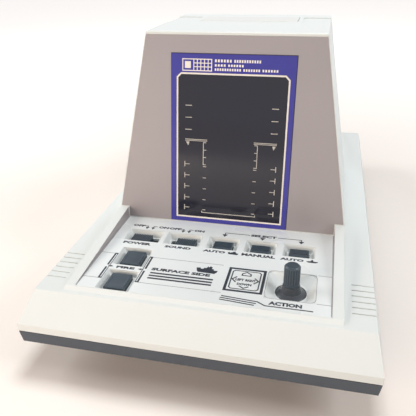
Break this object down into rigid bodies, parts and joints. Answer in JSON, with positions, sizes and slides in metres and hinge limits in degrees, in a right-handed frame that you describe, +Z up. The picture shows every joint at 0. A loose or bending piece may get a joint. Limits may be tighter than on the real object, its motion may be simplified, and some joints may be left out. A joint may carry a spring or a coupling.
{
  "type": "electronic table-top game",
  "caption": "Two-player table-top electronic game: tower with a display window on each side, decks with switches, push buttons and joysticks.",
  "frame": {"origin": "on the table, under the middle of the base", "axes": "+Z up, -Y towards the first player, who has the switches; +X to that player's right"},
  "size_m": [0.18, 0.332, 0.1589],
  "materials": {
    "shell_white": "moulded, fine satin",
    "shell_dark": "moulded, satin dark grey",
    "deck_silver": "printed satin plate",
    "mask_taupe": "satin metallic paint",
    "bezel_purple": "gloss, printed behind",
    "window_smoke": "dark smoked acrylic",
    "control_grey": "moulded, dark blue-grey",
    "tube_glass": "clear glass",
    "grid_metal": "dark plate",
    "frame_black": "black moulding",
    "board_brown": "phenolic board, lacquered",
    "chip_black": "moulded epoxy",
    "part_blue": "sleeved cans",
    "steel": "zinc plated",
    "contact_brass": "tinned spring brass",
    "cell_jacket": "plain metal jacket",
    "rubber": "moulded rubber",
    "dome_rubber": "silicone rubber",
    "ribbon_grey": "flat cable",
    "copper": "enamelled winding"
  },
  "bodies": {
    "root": {"battery_contacts": "contact_brass", "board_screws": "steel", "capacitors": "part_blue", "cells": "cell_jacket", "chips": "chip_black", "display_grids": "grid_metal", "front_bezel": "bezel_purple", "front_deck_plate": "deck_silver", "front_display_board": "board_brown", "front_display_holder": "frame_black", "front_display_tube": "tube_glass", "front_fire_dome_1": "dome_rubber", "front_fire_dome_2": "dome_rubber", "front_mask": "mask_taupe", "front_stick_socket": "frame_black", "front_switch_board": "board_brown", "front_window": "window_smoke", "housing_screws": "steel", "lower_shell": "shell_dark", "main_board": "board_brown", "power_jack": "frame_black", "power_switch": "steel", "rear_bezel": "bezel_purple", "rear_deck_plate": "deck_silver", "rear_display_board": "board_brown", "rear_display_holder": "frame_black", "rear_display_tube": "tube_glass", "rear_fire_dome_1": "dome_rubber", "rear_fire_dome_2": "dome_rubber", "rear_mask": "mask_taupe", "rear_stick_socket": "frame_black", "rear_switch_board": "board_brown", "rear_window": "window_smoke", "ribbons": "ribbon_grey", "rubber_feet": "rubber", "select_dome_1": "dome_rubber", "select_dome_2": "dome_rubber", "select_dome_3": "dome_rubber", "sound_switch": "steel", "speaker": "frame_black", "speaker_magnet": "steel", "top_plate": "shell_white", "transformer": "copper", "upper_shell": "shell_white"},
    "power_knob": {"power_knob": "control_grey"},
    "sound_knob": {"sound_knob": "control_grey"},
    "select_button_1": {"select_button_1": "control_grey"},
    "select_button_2": {"select_button_2": "control_grey"},
    "select_button_3": {"select_button_3": "control_grey"},
    "front_fire_button_1": {"front_fire_button_1": "control_grey"},
    "front_fire_button_2": {"front_fire_button_2": "control_grey"},
    "rear_fire_button_1": {"rear_fire_button_1": "control_grey"},
    "rear_fire_button_2": {"rear_fire_button_2": "control_grey"},
    "front_gimbal": {"front_stick_gimbal": "frame_black"},
    "front_stick": {"front_stick_shaft": "control_grey", "front_stick_knob": "control_grey"},
    "rear_gimbal": {"rear_stick_gimbal": "frame_black"},
    "rear_stick": {"rear_stick_shaft": "control_grey", "rear_stick_knob": "control_grey"},
    "battery_door": {"battery_door": "shell_dark"}
  },
  "joints": [
    {"name": "power_slide", "type": "slide", "parent": "root", "child": "power_knob", "axis": [1, 0, 0], "range_m": [0, 0.0037]},
    {"name": "sound_slide", "type": "slide", "parent": "root", "child": "sound_knob", "axis": [1, 0, 0], "range_m": [-0.0037, 0]},
    {"name": "select_1_press", "type": "slide", "parent": "root", "child": "select_button_1", "axis": [0, 0, -1], "range_m": [0, 0.0012], "stiffness_N_per_m": 300, "deforming": ["select_dome_1"]},
    {"name": "select_2_press", "type": "slide", "parent": "root", "child": "select_button_2", "axis": [0, 0, -1], "range_m": [0, 0.0012], "stiffness_N_per_m": 300, "deforming": ["select_dome_2"]},
    {"name": "select_3_press", "type": "slide", "parent": "root", "child": "select_button_3", "axis": [0, 0, -1], "range_m": [0, 0.0012], "stiffness_N_per_m": 300, "deforming": ["select_dome_3"]},
    {"name": "front_fire_1_press", "type": "slide", "parent": "root", "child": "front_fire_button_1", "axis": [0, 0, -1], "range_m": [0, 0.0015], "stiffness_N_per_m": 300, "deforming": ["front_fire_dome_1"]},
    {"name": "front_fire_2_press", "type": "slide", "parent": "root", "child": "front_fire_button_2", "axis": [0, 0, -1], "range_m": [0, 0.0015], "stiffness_N_per_m": 300, "deforming": ["front_fire_dome_2"]},
    {"name": "rear_fire_1_press", "type": "slide", "parent": "root", "child": "rear_fire_button_1", "axis": [0, 0, -1], "range_m": [0, 0.0015], "stiffness_N_per_m": 300, "deforming": ["rear_fire_dome_1"]},
    {"name": "rear_fire_2_press", "type": "slide", "parent": "root", "child": "rear_fire_button_2", "axis": [0, 0, -1], "range_m": [0, 0.0015], "stiffness_N_per_m": 300, "deforming": ["rear_fire_dome_2"]},
    {"name": "front_stick_up_down", "type": "hinge", "parent": "root", "child": "front_gimbal", "pos_m": [0.04505, -0.1221, 0.0293], "axis": [1, 0, 0], "range_deg": [-10, 10], "stiffness_Nm_per_rad": 0.02},
    {"name": "front_stick_left_right", "type": "hinge", "parent": "front_gimbal", "child": "front_stick", "pos_m": [0.04505, -0.1221, 0.0293], "axis": [0, 1, 0], "range_deg": [-10, 10], "stiffness_Nm_per_rad": 0.02},
    {"name": "rear_stick_up_down", "type": "hinge", "parent": "root", "child": "rear_gimbal", "pos_m": [-0.04505, 0.1221, 0.0293], "axis": [-1, 0, 0], "range_deg": [-10, 10], "stiffness_Nm_per_rad": 0.02},
    {"name": "rear_stick_left_right", "type": "hinge", "parent": "rear_gimbal", "child": "rear_stick", "pos_m": [-0.04505, 0.1221, 0.0293], "axis": [0, -1, 0], "range_deg": [-10, 10], "stiffness_Nm_per_rad": 0.02},
    {"name": "battery_door_slide", "type": "slide", "parent": "root", "child": "battery_door", "axis": [1, 0, 0], "range_m": [0, 0.08]}
  ]
}
